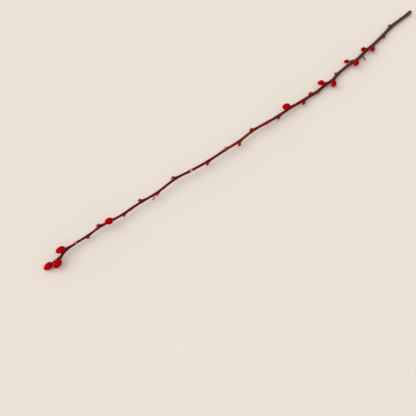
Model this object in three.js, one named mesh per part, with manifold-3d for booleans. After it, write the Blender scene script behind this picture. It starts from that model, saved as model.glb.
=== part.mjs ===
// A cut willow twig in catkin, dyed red, lying on a flat surface.
//
// Millimetres, +Z up, the surface at Z = 0. +X is the way the twig grew, from its cut end to its tip.
// "along" is a distance from the cut end, measured on the stem's axis.
// "turn" is a direction round the stem in degrees: 0 is to +Y, 90 up, 180 to -Y and 270 down.
// "lean" is the angle in degrees between what the stem carries and the stem.

import * as THREE from "three";
import { ParametricGeometry } from "three/addons/geometries/ParametricGeometry.js";
import { mergeVertices } from "three/addons/utils/BufferGeometryUtils.js";
import Module from "manifold-3d";

// --- Driving dimensions -----------------------------------------------------------------------

const CUT_END_RADIUS = 2.6;
const TIP_RADIUS = 1.4;
const CUT_SLOPE = 0.5;
const STEM_SIDES = 9;
const RING_SPACING = 5;
const NODE_SWELLING = 0.22;
const NODE_SWELLING_LENGTH = 5;

// The stem bows to one side as it lies, and arches a little between the points it rests on.
const BOW = [
  [0, 0, 2.33],
  [60, 4.2, 3.12],
  [125, 12.2, 3.73],
  [185, 16.8, 3.84],
  [237, 19.6, 4],
  [262, 16.8, 4.6],
  [290, 15.8, 5.3],
  [350, 12.4, 7],
  [400, 12.3, 8.3],
  [440, 9.3, 8.8],
  [480, 5, 8.8],
  [530, 3.5, 8],
  [580, -0.7, 6.9],
  [620, -4.3, 6],
  [648, -4.5, 5.3],
  [664, -2.6, 4.6],
  [673, -1.6, 4],
];
// At each node the stem bends towards what it carries there by this much.
const NODE_KINK = 0.9;

const CATKIN_LENGTH = 13;
const CATKIN_WIDTH = 8.8;
// A catkin no larger than this is only just showing from its bud.
const SHOWING_SIZE = 0.6;
const BUD_LENGTH = 5.5;
const BUD_WIDTH = 2.5;
const SCAR_WIDTH = 3.1;
const SCAR_HEIGHT = 1.4;
// The side that faces the stem is flatter than a round one by this factor, less so on a catkin.
const STEM_SIDE_FLATNESS = 0.7;
const CATKIN_FLATNESS = 0.85;
const SCALE_THICKNESS = 0.45;

// Separate pieces keep this gap where they meet.
const GAP = 0.3;

// What the stem carries, in order from the cut end. size multiplies the lengths above.
const NODES = [
  { kind: "closed_bud", along: 8, turn: 62, size: 0.7, lean: 10 },
  { kind: "closed_bud", along: 49, turn: 160, size: 0.95, lean: 12 },
  { kind: "closed_bud", along: 73, turn: 0, size: 0.9, lean: 12 },
  { kind: "catkin", along: 105, turn: 15, size: 0.75, lean: 24 },
  { kind: "catkin", along: 119, turn: 108, size: 0.8, lean: 24 },
  { kind: "closed_bud", along: 133, turn: 8, size: 0.85, lean: 30, spur: 5 },
  { kind: "catkin", along: 145, turn: 30, size: 0.92, lean: 24 },
  { kind: "catkin", along: 153, turn: 170, size: 0.7, lean: 24 },
  { kind: "closed_bud", along: 185, turn: 155, size: 0.9, lean: 12 },
  { kind: "catkin", along: 199, turn: 12, size: 0.9, lean: 26 },
  { kind: "catkin", along: 214, turn: 130, size: 0.92, lean: 28 },
  { kind: "closed_bud", along: 230, turn: 268, size: 0.8, lean: 12 },
  { kind: "closed_bud", along: 241, turn: 140, size: 1.2, lean: 10 },
  { kind: "opening_bud", along: 258.5, turn: 8, size: 0.5, lean: 22 },
  { kind: "catkin", along: 284, turn: 102, size: 1.08, lean: 24 },
  { kind: "closed_bud", along: 306, turn: -20, size: 0.95, lean: 12 },
  { kind: "opening_bud", along: 327, turn: 60, size: 0.5, lean: 20 },
  { kind: "closed_bud", along: 351, turn: 128, size: 1.15, lean: 9 },
  { kind: "opening_bud", along: 378.5, turn: -8, size: 0.46, lean: 21 },
  { kind: "bud_scar", along: 403, turn: 108, size: 1.35, lean: 60 },
  { kind: "opening_bud", along: 433.5, turn: -10, size: 0.34, lean: 16 },
  { kind: "bud_scar", along: 461, turn: 55, size: 1.15, lean: 75 },
  { kind: "closed_bud", along: 484, turn: 148, size: 1.2, lean: 12 },
  { kind: "bud_scar", along: 518, turn: -5, size: 1.35, lean: 60, flake: true },
  { kind: "opening_bud", along: 538, turn: 118, size: 0.4, lean: 19 },
  { kind: "closed_bud", along: 555, turn: 265, size: 0.8, lean: 12 },
  { kind: "closed_bud", along: 567, turn: -22, size: 0.8, lean: 12 },
  { kind: "catkin", along: 583.5, turn: 72, size: 0.98, lean: 25 },
  { kind: "closed_bud", along: 600.5, turn: 150, size: 1.25, lean: 10 },
  { kind: "closed_bud", along: 620, turn: 6, size: 0.95, lean: 13 },
  { kind: "bud_scar", along: 638.5, turn: 75, size: 1.3, lean: 75 },
  { kind: "catkin", along: 652, turn: 112, size: 1.05, lean: 24 },
  { kind: "catkin", along: 666, turn: 22, size: 1.05, lean: 21 },
];
// How high the short stub under each kind stands above the stem, its radius at the top, and how
// much further it leans out than what it carries.
const STUBS = {
  catkin: { height: 1.3, radius: 0.85, extraLean: 14 },
  opening_bud: { height: 0.75, radius: 0.75, extraLean: 24 },
  closed_bud: { height: 0.45, radius: 0.7, extraLean: 30 },
  bud_scar: { height: 0.3, radius: 1, extraLean: 10 },
};
const STUB_SIDES = 7;

// A strip of bark that has peeled off beside one of the scars. It is twisted, so that it faces further round
// the stem than the scar does by this many degrees.
const FLAKE = { length: 7.5, width: 2.7, thickness: 0.35, lean: 20, curl: 1.1, twist: 55 };

const MATERIALS = {
  stem: new THREE.MeshStandardMaterial({ color: 0x5a1c12, roughness: 0.55, metalness: 0 }),
  catkin: new THREE.MeshStandardMaterial({ color: 0xb0081a, roughness: 0.95, metalness: 0 }),
  scale: new THREE.MeshStandardMaterial({ color: 0x4a120c, roughness: 0.4, metalness: 0 }),
  scar: new THREE.MeshStandardMaterial({ color: 0xe0523c, roughness: 0.8, metalness: 0 }),
};

// --- The stem's axis ---------------------------------------------------------------------------

const UP = new THREE.Vector3(0, 0, 1);

// The direction at a turn round a stem that runs along tangent.
function outward(tangent, turn) {
  const side = new THREE.Vector3().crossVectors(UP, tangent).normalize();
  const above = new THREE.Vector3().crossVectors(tangent, side);
  const angle = THREE.MathUtils.degToRad(turn);
  return side.multiplyScalar(Math.cos(angle)).addScaledVector(above, Math.sin(angle));
}

const bow = new THREE.CatmullRomCurve3(BOW.map((point) => new THREE.Vector3(...point)), false, "centripetal");
const STEM_LENGTH = bow.getLength();

function kinkedPoint(node) {
  const place = node.along / STEM_LENGTH;
  const direction = outward(bow.getTangentAt(place), node.turn);
  direction.z = 0;
  return bow.getPointAt(place).addScaledVector(direction, NODE_KINK);
}

const axis = new THREE.CatmullRomCurve3(
  [bow.getPoint(0), ...NODES.map(kinkedPoint), bow.getPoint(1)],
  false,
  "centripetal",
);
axis.arcLengthDivisions = 2000;

function stemRadius(along) {
  return THREE.MathUtils.lerp(CUT_END_RADIUS, TIP_RADIUS, along / STEM_LENGTH);
}

// The axis point, growth direction, outward direction and stem radius at a node.
function stationAt(along, turn) {
  const place = THREE.MathUtils.clamp(along / STEM_LENGTH, 0, 1);
  const tangent = axis.getTangentAt(place);
  return { point: axis.getPointAt(place), tangent, out: outward(tangent, turn), radius: stemRadius(along) };
}

// --- Solids and geometries ---------------------------------------------------------------------

const wasm = await Module();
wasm.setup();

function weld(geometry) {
  const bare = geometry.clone();
  bare.deleteAttribute("normal");
  bare.deleteAttribute("uv");
  return mergeVertices(bare);
}

function toSolid(geometry) {
  const welded = weld(geometry);
  const vertProperties = welded.attributes.position.array;
  const triVerts = new Uint32Array(welded.index.array);
  return new wasm.Manifold(new wasm.Mesh({ numProp: 3, vertProperties, triVerts }));
}

function toGeometry(solid) {
  const { vertProperties, triVerts } = solid.getMesh();
  const geometry = new THREE.BufferGeometry();
  geometry.setAttribute("position", new THREE.BufferAttribute(new Float32Array(vertProperties), 3));
  geometry.setIndex(new THREE.BufferAttribute(triVerts, 1));
  geometry.computeVertexNormals();
  return geometry;
}

// A closed skin round the Y axis: profile(v, side) gives [radius, height], for v from 0 to 1.
// side runs from -1, facing the stem, to 1, facing away from it along +Z.
function roundSkin(profile, sides, steps, flatness = STEM_SIDE_FLATNESS) {
  const surface = (u, v, target) => {
    const angle = u * 2 * Math.PI;
    const side = Math.cos(angle);
    const [radius, height] = profile(v, side);
    const depth = radius * side * (side < 0 ? flatness : 1);
    target.set(radius * Math.sin(angle), height, depth);
  };
  return weld(new ParametricGeometry(surface, sides, steps));
}

// The catkin's outline is an egg, fuller towards its base. offset moves it outwards.
function eggOutline(angle, length, width, offset = 0) {
  const fullness = 0.16;
  const radius = (width / 2) * Math.sin(angle) * (1 + fullness * Math.cos(angle));
  const height = (length / 2) * (1 - Math.cos(angle));
  const radiusSlope = (width / 2) * (Math.cos(angle) + fullness * Math.cos(2 * angle));
  const heightSlope = (length / 2) * Math.sin(angle);
  const slope = Math.hypot(radiusSlope, heightSlope);
  return [radius + (offset * heightSlope) / slope, height - (offset * radiusSlope) / slope];
}

function catkinSides(size) {
  return size > SHOWING_SIZE ? 12 : 8;
}

function catkinFlatness(size) {
  return size > SHOWING_SIZE ? CATKIN_FLATNESS : STEM_SIDE_FLATNESS;
}

function catkinGeometry(size) {
  const outline = (v) => eggOutline(v * Math.PI, CATKIN_LENGTH * size, CATKIN_WIDTH * size);
  return roundSkin(outline, catkinSides(size), size > SHOWING_SIZE ? 9 : 6, catkinFlatness(size));
}

// The cap-like bud scale left under a catkin: a thin cup that reaches highest on its outer side.
function scaleGeometry(size, lowRim, highRim) {
  const outline = (v, side) => {
    const rim = THREE.MathUtils.lerp(lowRim, highRim, ((1 + side) / 2) ** 1.5);
    const outer = v < 0.5;
    const angle = rim * (outer ? v : 1 - v) * 2;
    return eggOutline(angle, CATKIN_LENGTH * size, CATKIN_WIDTH * size, outer ? GAP + SCALE_THICKNESS : GAP);
  };
  return roundSkin(outline, catkinSides(size), 8, catkinFlatness(size));
}

// A closed bud: a teardrop with its fullest place near the base, its point drawn in to the stem.
function budGeometry(size) {
  const outline = (v) => {
    const radius = (BUD_WIDTH * size * 2.38 * Math.sqrt(v) * (1 - v) ** 0.8) / 2;
    return [radius, BUD_LENGTH * size * v];
  };
  const geometry = roundSkin(outline, 7, 6);
  const position = geometry.attributes.position;
  for (let i = 0; i < position.count; i++) {
    const rise = position.getY(i) / (BUD_LENGTH * size);
    position.setZ(i, position.getZ(i) - 0.5 * size * rise * rise);
  }
  return geometry;
}

function scarGeometry(size) {
  const outline = (v) => eggOutline(v * Math.PI, SCAR_HEIGHT * size, SCAR_WIDTH * size);
  return roundSkin(outline, 8, 5);
}

function flakeGeometry() {
  const { length, width, thickness, curl } = FLAKE;
  const geometry = new THREE.BoxGeometry(width, length, thickness, 2, 6, 1);
  geometry.translate(0, length / 2, 0);
  const position = geometry.attributes.position;
  for (let i = 0; i < position.count; i++) {
    const reach = position.getY(i) / length;
    const narrowing = 1 - 0.55 * reach;
    position.setX(i, position.getX(i) * narrowing + 0.5 * reach);
    position.setZ(i, position.getZ(i) + curl * reach * reach);
  }
  return weld(geometry);
}

// --- The stem ----------------------------------------------------------------------------------

function nodeSwelling(along) {
  const bump = (node) => Math.exp(-(((along - node.along) / NODE_SWELLING_LENGTH) ** 2));
  return NODE_SWELLING * NODES.reduce((sum, node) => sum + bump(node), 0);
}

// A tapered skin along the axis, closed at the slanted cut end and at the tip.
function stemSkin() {
  const rings = Math.round(STEM_LENGTH / RING_SPACING);
  const steps = rings + 2;
  const surface = (u, v, target) => {
    const step = v * steps;
    const along = (THREE.MathUtils.clamp(step - 1, 0, rings) / rings) * STEM_LENGTH;
    const fill = Math.min(1, step, steps - step);
    const turn = u * 360;
    const { point, tangent, out, radius } = stationAt(along, turn);
    const reach = fill * (radius + nodeSwelling(along));
    const slant = along === 0 ? CUT_SLOPE * reach * Math.sin(THREE.MathUtils.degToRad(turn)) : 0;
    target.copy(point).addScaledVector(out, reach).addScaledVector(tangent, slant);
  };
  return new ParametricGeometry(surface, STEM_SIDES, steps);
}

// Where the thing a node carries sits, on top of its stub, and the two directions it is built on.
function seatOf(node) {
  const { point, tangent, out, radius } = stationAt(node.along, node.turn);
  const height = node.spur ?? STUBS[node.kind].height * Math.max(1, node.size);
  const lean = THREE.MathUtils.degToRad(node.lean);
  const growth = tangent.clone().multiplyScalar(Math.cos(lean)).addScaledVector(out, Math.sin(lean));
  const top = point.clone().addScaledVector(out, radius + nodeSwelling(node.along) + height);
  return { top, growth, tangent, out, depth: radius + height };
}

// The short stub that the stem grows at a node, as a tapered peg that starts inside the stem.
function stubSolid(node) {
  const { top, tangent, out, depth } = seatOf(node);
  const { radius, extraLean } = STUBS[node.kind];
  const lean = THREE.MathUtils.degToRad(node.lean + extraLean);
  const along = tangent.clone().multiplyScalar(Math.cos(lean)).addScaledVector(out, Math.sin(lean));
  const length = depth / Math.sin(lean);
  const peg = new THREE.CylinderGeometry(radius, radius * 1.3, length, STUB_SIDES);
  peg.translate(0, -length / 2, 0);
  peg.applyQuaternion(new THREE.Quaternion().setFromUnitVectors(new THREE.Vector3(0, 1, 0), along));
  peg.translate(top.x, top.y, top.z);
  return toSolid(peg);
}

function stemMesh() {
  const grown = NODES.reduce((solid, node) => solid.add(stubSolid(node)), toSolid(stemSkin()));
  return new THREE.Mesh(toGeometry(grown), MATERIALS.stem);
}

// --- What the stem carries ---------------------------------------------------------------------

// Puts a piece built along +Y, with its outer side to +Z, at a place on the twig.
function placed(name, geometry, material, origin, growth, out) {
  const mesh = new THREE.Mesh(geometry, material);
  const across = new THREE.Vector3().crossVectors(growth, out).normalize();
  const outerSide = new THREE.Vector3().crossVectors(across, growth);
  mesh.name = name;
  mesh.position.copy(origin);
  mesh.quaternion.setFromRotationMatrix(new THREE.Matrix4().makeBasis(across, growth, outerSide));
  return mesh;
}

// A catkin, large or just showing, in the cup of its bud scale.
function catkinInScale(name, size, rims, seat) {
  const base = seat.top.clone().addScaledVector(seat.growth, 2 * GAP + SCALE_THICKNESS);
  const scale = scaleGeometry(size, rims.low, rims.high);
  return [
    placed(name, catkinGeometry(size), MATERIALS.catkin, base, seat.growth, seat.out),
    placed(name.replace(/_(\d+)$/, "_scale_$1"), scale, MATERIALS.scale, base, seat.growth, seat.out),
  ];
}

const RIMS = {
  catkin: { low: 0.4, high: 0.85 },
  opening_bud: { low: 0.8, high: 1.7 },
};

function carried(node, number) {
  const name = `${node.kind}_${String(number).padStart(2, "0")}`;
  const seat = seatOf(node);
  if (node.kind in RIMS) {
    return catkinInScale(name, node.size, RIMS[node.kind], seat);
  }
  const isScar = node.kind === "bud_scar";
  const geometry = isScar ? scarGeometry(node.size) : budGeometry(node.size);
  const material = isScar ? MATERIALS.scar : MATERIALS.scale;
  const base = seat.top.clone().addScaledVector(seat.growth, GAP);
  return [placed(name, geometry, material, base, seat.growth, seat.out)];
}

function peeledFlake(node) {
  const { point, tangent, out, radius } = stationAt(node.along + 3.2, node.turn);
  const lean = THREE.MathUtils.degToRad(FLAKE.lean);
  const growth = tangent.clone().multiplyScalar(Math.cos(lean)).addScaledVector(out, Math.sin(lean));
  const edgeDrop = (FLAKE.width / 2) * Math.sin(THREE.MathUtils.degToRad(FLAKE.twist));
  const base = point.clone().addScaledVector(out, radius + NODE_SWELLING + FLAKE.thickness + edgeDrop);
  const facing = outward(tangent, node.turn + FLAKE.twist);
  return placed("peeled_bark_flake", flakeGeometry(), MATERIALS.scale, base, growth, facing);
}

const twig = new THREE.Group();
const stem = stemMesh();
stem.name = "stem";
twig.add(stem);

const counts = {};
for (const node of NODES) {
  counts[node.kind] = (counts[node.kind] ?? 0) + 1;
  twig.add(...carried(node, counts[node.kind]));
  if (node.flake) {
    twig.add(peeledFlake(node));
  }
}

// The last catkin ends the stem and grows straight on from it.
const end = stationAt(STEM_LENGTH, 90);
const endSeat = { top: end.point.clone().addScaledVector(end.tangent, GAP), growth: end.tangent, out: end.out };
twig.add(...catkinInScale(`catkin_${counts.catkin + 1}`, 1, RIMS.catkin, endSeat));

// The row's origin is under the middle of the twig's box.
const box = new THREE.Box3().setFromObject(twig, true);
const middle = box.getCenter(new THREE.Vector3());
twig.position.set(-middle.x, -middle.y, -box.min.z);

export default twig;
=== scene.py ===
"""A cut willow twig in catkin, dyed red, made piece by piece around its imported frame.

Lengths in this file are millimetres unless a name or a property says otherwise, and become metres
where a mesh, a light or the camera is made. +Z is up and the twig lies on Z = 0. "along" is a
distance on the stem's axis from its cut end. "turn" is a direction round the stem in degrees: 0 is
to +Y and 90 is up. What grows on the stem is built upright along its own +Y, with the side that
faces away from the stem to +Z, and then put in its place.
"""

import math

import bpy
import numpy as np
from bpy.props import FloatProperty, FloatVectorProperty, IntProperty, PointerProperty
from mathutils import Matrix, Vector, noise


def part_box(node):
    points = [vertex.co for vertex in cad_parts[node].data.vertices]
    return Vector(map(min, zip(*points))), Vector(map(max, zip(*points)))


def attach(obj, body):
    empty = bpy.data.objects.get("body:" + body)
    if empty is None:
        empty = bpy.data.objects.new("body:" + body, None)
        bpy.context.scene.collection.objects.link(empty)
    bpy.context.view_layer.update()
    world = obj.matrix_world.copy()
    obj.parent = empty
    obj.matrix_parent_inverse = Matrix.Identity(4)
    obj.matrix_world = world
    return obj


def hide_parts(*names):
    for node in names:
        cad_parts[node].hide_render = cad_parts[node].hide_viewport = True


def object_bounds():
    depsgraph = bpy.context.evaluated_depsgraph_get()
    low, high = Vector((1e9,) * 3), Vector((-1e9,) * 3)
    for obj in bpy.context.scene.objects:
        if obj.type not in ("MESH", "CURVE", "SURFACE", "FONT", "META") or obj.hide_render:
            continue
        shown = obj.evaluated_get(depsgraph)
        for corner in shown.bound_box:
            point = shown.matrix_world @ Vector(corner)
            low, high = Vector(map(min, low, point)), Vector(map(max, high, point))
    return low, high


bl_info = {
    "name": "Dyed Willow Twig",
    "version": (1, 0, 0),
    "blender": (4, 5, 0),
    "location": "3D View > Sidebar > Willow Twig",
    "description": "Makes a cut willow twig in catkin: stem, catkins, buds, scars and peeled bark",
    "category": "Add Mesh",
}

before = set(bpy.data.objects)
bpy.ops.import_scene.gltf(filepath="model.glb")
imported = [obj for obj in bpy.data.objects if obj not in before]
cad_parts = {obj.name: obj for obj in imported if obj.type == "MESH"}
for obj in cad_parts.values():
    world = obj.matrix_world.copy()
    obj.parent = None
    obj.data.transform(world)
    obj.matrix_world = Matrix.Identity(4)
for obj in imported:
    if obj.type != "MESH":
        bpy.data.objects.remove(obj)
CAD_BOUNDS = [list(corner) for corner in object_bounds()]

MM = 0.001


def linear(code):
    """An sRGB hex colour as linear red, green and blue."""
    channels = [int(code[i : i + 2], 16) / 255 for i in (1, 3, 5)]
    return [c / 12.92 if c <= 0.04045 else ((c + 0.055) / 1.055) ** 2.4 for c in channels]


# --- What the twig is -------------------------------------------------------------------------

# The line that the stem bows along as it lies.
BOW = [
    (0, 0, 2.33),
    (60, 4.2, 3.12),
    (125, 12.2, 3.73),
    (185, 16.8, 3.84),
    (237, 19.6, 4),
    (262, 16.8, 4.6),
    (290, 15.8, 5.3),
    (350, 12.4, 7),
    (400, 12.3, 8.3),
    (440, 9.3, 8.8),
    (480, 5, 8.8),
    (530, 3.5, 8),
    (580, -0.7, 6.9),
    (620, -4.3, 6),
    (648, -4.5, 5.3),
    (664, -2.6, 4.6),
    (673, -1.6, 4),
]
# At each node the stem bends by this much towards what it carries there.
NODE_KINK = 0.9
NODE_SWELLING = 0.22
NODE_SWELLING_LENGTH = 5
CUT_SLOPE = 0.5

def grown(kind, along, turn, size, lean, **more):
    """One thing that the stem carries: its kind, its place, what its lengths are multiplied by, its angle
    to the stem, and more: blush is how red a bud's tip is, fade is how pale a scar has become, spur is
    how far its side spur stands out, and reach stands in for SCALE_REACH."""
    return {"kind": kind, "along": along, "turn": turn, "size": size, "lean": lean, **more}


# What the stem carries, from the cut end on.
NODES = [
    grown("closed_bud", 8, 62, 0.7, 10, blush=0.1),
    grown("closed_bud", 49, 160, 0.95, 12, blush=0.2),
    grown("closed_bud", 73, 0, 0.9, 12, blush=0.2),
    grown("catkin", 105, 15, 0.75, 24),
    grown("catkin", 119, 108, 0.8, 24),
    grown("closed_bud", 133, 8, 0.85, 30, blush=0.3, spur=5),
    grown("catkin", 145, 30, 0.92, 24),
    grown("catkin", 153, 170, 0.7, 24),
    grown("closed_bud", 185, 155, 0.9, 12, blush=0.3),
    grown("catkin", 199, 12, 0.9, 26),
    grown("catkin", 214, 130, 0.92, 28),
    grown("closed_bud", 230, 268, 0.8, 12, blush=0.3),
    grown("closed_bud", 241, 140, 1.2, 10, blush=0.45),
    grown("opening_bud", 258.5, 8, 0.5, 22),
    grown("catkin", 284, 102, 1.08, 24),
    grown("closed_bud", 306, -20, 0.95, 12, blush=0.15),
    grown("opening_bud", 327, 60, 0.5, 20),
    grown("closed_bud", 351, 128, 1.15, 9, blush=0.1),
    grown("opening_bud", 378.5, -8, 0.46, 21),
    grown("bud_scar", 403, 108, 1.35, 60, fade=0.5),
    grown("opening_bud", 433.5, -10, 0.34, 16),
    grown("bud_scar", 461, 55, 1.15, 75, fade=1.0),
    grown("closed_bud", 484, 148, 1.2, 12, blush=0.25),
    grown("bud_scar", 518, -5, 1.35, 60, fade=0.15, flake=True),
    grown("opening_bud", 538, 118, 0.4, 19, reach=(1.2, 2.0)),
    grown("closed_bud", 555, 265, 0.8, 12, blush=0.4),
    grown("closed_bud", 567, -22, 0.8, 12, blush=0.3),
    grown("catkin", 583.5, 72, 0.98, 25),
    grown("closed_bud", 600.5, 150, 1.25, 10, blush=0.6),
    grown("closed_bud", 620, 6, 0.95, 13, blush=0.15),
    grown("bud_scar", 638.5, 75, 1.3, 75, fade=0.1),
    grown("catkin", 652, 112, 1.05, 24),
    grown("catkin", 666, 22, 1.05, 21),
]
# The cushion that the stem grows under each kind: how high its top stands, how much further it
# leans out than what it carries, and how far it runs back, forwards and sideways.
CUSHIONS = {
    "catkin": {"height": 1.3, "more_lean": 14, "back": 6.0, "front": 1.9, "side": 2.2},
    "opening_bud": {"height": 0.75, "more_lean": 24, "back": 4.6, "front": 1.7, "side": 2.0},
    "closed_bud": {"height": 0.45, "more_lean": 30, "back": 4.0, "front": 1.7, "side": 1.8},
    "bud_scar": {"height": 0.95, "more_lean": 10, "back": 6.5, "front": 2.1, "side": 2.2},
}
# The frame's seat for a scar is just under the bark, and every other seat is on its cushion.
SCAR_SEAT_HEIGHT = 0.3
# The frame's pieces keep this gap where they meet, and its scales and peeled strip are this thick.
FRAME_GAP = 0.3
FRAME_SCALE = 0.45
FRAME_FLAKE = 0.35
# How far round its catkin a scale reaches, in radians from the base: next to the stem and away from it.
SCALE_REACH = {"catkin": (0.4, 0.8), "opening_bud": (0.65, 1.25)}
# The side that faces the stem is flatter than a round one by this factor, less so on a catkin. A catkin
# no larger than SHOWING_SIZE only just shows from its bud.
STEM_SIDE_FLATNESS = 0.7
CATKIN_FLATNESS = 0.85
SHOWING_SIZE = 0.6
# What the random draws of each kind of piece start from.
STEM_SEED = 11
CATKIN_SEED = 100
OPENING_BUD_SEED = 200
SCAR_SEED = 20


# --- Sizes and colours that a user would change -----------------------------------------------


def length_property(name, description, millimetres):
    """A length that is shown in the scene's own unit."""
    return FloatProperty(
        name=name,
        description=description,
        default=millimetres * MM,
        min=0.0,
        precision=5,
        unit="LENGTH",
    )


def colour_property(name, description, code):
    """A colour with its default as sRGB hex."""
    return FloatVectorProperty(
        name=name, description=description, default=linear(code), subtype="COLOR", min=0.0, max=1.0
    )


class TwigSizes(bpy.types.PropertyGroup):
    """Sizes of the twig's pieces."""

    cut_end_radius: length_property("Cut end radius", "Stem's radius at its cut end", 2.6)
    tip_radius: length_property("Tip radius", "Stem's radius where the last catkin sits", 1.4)
    catkin_length: length_property("Catkin length", "Length of a catkin of size 1 with its fur", 13)
    catkin_width: length_property("Catkin width", "Width of a catkin of size 1 with its fur", 8.8)
    hair_length: length_property("Hair length", "Length of one strand of the fur", 2.3)
    hair_width: length_property("Hair width", "Thickness of one strand at its root", 0.13)
    florets: IntProperty(name="Florets", description="Tufts on a catkin of size 1", default=110, min=1)
    hairs: IntProperty(name="Hairs", description="Strands in one tuft", default=28, min=1)
    scale_thickness: length_property("Scale thickness", "Thickness of a bud scale at its base", 0.3)
    bud_length: length_property("Bud length", "Length of a closed bud of size 1", 5.5)
    bud_width: length_property("Bud width", "Width of a closed bud of size 1", 2.5)
    scar_width: length_property("Scar width", "Width of the torn wood where a bud broke off", 3.1)
    scar_height: length_property("Scar height", "Height of that torn wood", 1.4)
    flake_length: length_property("Flake length", "Length of the peeled strip of bark", 7.5)
    flake_width: length_property("Flake width", "Width of the peeled strip of bark", 2.7)
    flake_thickness: length_property("Flake thickness", "Thickness of the peeled strip", 0.25)
    floor_side: length_property("Floor side", "Side of the square floor", 9000)


class TwigColours(bpy.types.PropertyGroup):
    """Colours of the twig's surfaces."""

    bark_old: colour_property("Old bark", "Grey-brown bark towards the cut end", "#513a2e")
    bark_brown: colour_property("Brown bark", "Bark where the dye is thin", "#72260a")
    bark_red: colour_property("Dyed bark", "Well dyed bark along the middle", "#690a02")
    bark_young: colour_property("Young bark", "Dark young bark near the tip", "#540402")
    leaf_scar: colour_property("Leaf scar", "Corky scar of a fallen leaf", "#8a5a44")
    wood: colour_property("Cut wood", "Wood in the cut face, stained by the dye", "#c98a66")
    pith: colour_property("Pith", "Pith in the middle of the cut face", "#7c4a34")
    # The silk's root colour is darker than its tip as painted shade down between the strands and on the
    # core.
    silk_shaded_root: colour_property("Silk root", "Fur down between its strands", "#d8020c")
    silk_tip: colour_property("Silk tip", "Fur at the ends of its strands", "#ff0a18")
    bract: colour_property("Bract", "Dark bract tips that show between the tufts", "#8a0208")
    scale_dark: colour_property("Bud scale", "Leathery bud scale", "#7c2010")
    scale_red: colour_property("Red bud tip", "Bud scale where it is red", "#cc2018")
    scar_bright: colour_property("Fresh scar", "Torn young wood, full of dye", "#f23f3a")
    scar_pale: colour_property("Faded scar", "Torn young wood with little dye", "#f6a58c")
    flake_inside: colour_property("Inner bark", "Inner side of the peeled strip", "#b97862")
    floor: colour_property("Floor", "Matt painted board", "#f0e9e3")


# --- Shape helpers ----------------------------------------------------------------------------


def catmull_rom(points, places):
    """Points at places from 0 to 1 on a centripetal Catmull-Rom curve through some points."""
    points = np.asarray(points, float)
    last = len(points) - 1
    first_guide = 2 * points[0] - points[1]
    last_guide = 2 * points[-1] - points[-2]
    guided = np.vstack([first_guide, points, last_guide])
    reached = np.clip(places, 0, 1) * last
    index = np.minimum(reached.astype(int), last - 1)
    t = (reached - index)[:, None]
    a, b, c, d = (guided[index + i] for i in range(4))
    knot_0, knot_1, knot_2 = (
        np.linalg.norm(q - p, axis=1, keepdims=True) ** 0.5 for p, q in ((a, b), (b, c), (c, d))
    )
    leave = ((b - a) / knot_0 - (c - a) / (knot_0 + knot_1) + (c - b) / knot_1) * knot_1
    arrive = ((c - b) / knot_1 - (d - b) / (knot_1 + knot_2) + (d - c) / knot_2) * knot_1
    square = -3 * b + 3 * c - 2 * leave - arrive
    cube = 2 * b - 2 * c + leave + arrive
    return b + leave * t + square * t**2 + cube * t**3


class Route:
    """A curve through points that can be read by the share of its length that lies behind."""

    def __init__(self, points, divisions):
        self.points = points
        self.places = np.linspace(0, 1, divisions + 1)
        steps = np.diff(catmull_rom(points, self.places), axis=0)
        self.reached = np.concatenate([[0], np.cumsum(np.linalg.norm(steps, axis=1))])
        self.length = self.reached[-1]

    def at(self, shares):
        """The points and the directions of travel at shares of the length."""
        places = np.interp(np.asarray(shares, float) * self.length, self.reached, self.places)
        step = 0.0001
        before = catmull_rom(self.points, np.clip(places - step, 0, 1))
        after = catmull_rom(self.points, np.clip(places + step, 0, 1))
        return catmull_rom(self.points, places), unit(after - before)


def unit(vectors):
    """The vectors with length 1."""
    return vectors / np.linalg.norm(vectors, axis=-1, keepdims=True)


def outward(tangents, turns):
    """The directions at some turns round a stem that runs along tangents."""
    side = unit(np.cross([0.0, 0.0, 1.0], tangents))
    above = np.cross(tangents, side)
    angles = np.radians(turns)[..., None]
    return side * np.cos(angles) + above * np.sin(angles)


def step_up(values):
    """0 below 0, 1 above 1, and a smooth rise between them."""
    t = np.clip(values, 0, 1)
    return t * t * (3 - 2 * t)


def bump(values):
    """A soft bump of height 1 and half-width about 1, round 0."""
    return np.exp(-(values**2))


def lumps(points, spacing, seed):
    """Smooth noise from -1 to 1 at some points, with lumps about spacing apart."""
    shift = Vector((seed * 7.31, seed * 3.17, seed * 5.71))
    flat = np.asarray(points, float).reshape(-1, 3) / spacing
    values = [noise.noise(Vector(point) + shift) for point in flat]
    return np.array(values).reshape(np.shape(points)[:-1])


def stem_axis():
    """The stem's axis, which bends a little at each node, and the length of its bow."""
    bow = Route(BOW, 200)
    kinked = []
    for node in NODES:
        point, tangent = bow.at([node["along"] / bow.length])
        direction = outward(tangent, np.array([node["turn"]]))[0]
        direction[2] = 0
        kinked.append(point[0] + direction * NODE_KINK)
    ends = bow.at([0, 1])[0]
    return Route(np.vstack([ends[:1], kinked, ends[1:]]), 2000), bow.length


AXIS, STEM_LENGTH = stem_axis()


def node_swelling(along):
    """How much thicker the stem is near its nodes."""
    along = np.asarray(along, float)
    total = sum(bump((along - node["along"]) / NODE_SWELLING_LENGTH) for node in NODES)
    return NODE_SWELLING * total


class Place:
    """Where a piece grows: its base, and the directions across it, along it and away from the stem."""

    def __init__(self, origin, growth, out):
        self.origin = origin
        self.across = unit(np.cross(growth, out))
        self.growth = growth
        self.outer = np.cross(self.across, growth)

    def put(self, points):
        """Points of a piece that was built upright, in the twig's place."""
        x, y, z = np.moveaxis(np.asarray(points, float), -1, 0)[..., None]
        return self.origin + x * self.across + y * self.growth + z * self.outer


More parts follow.
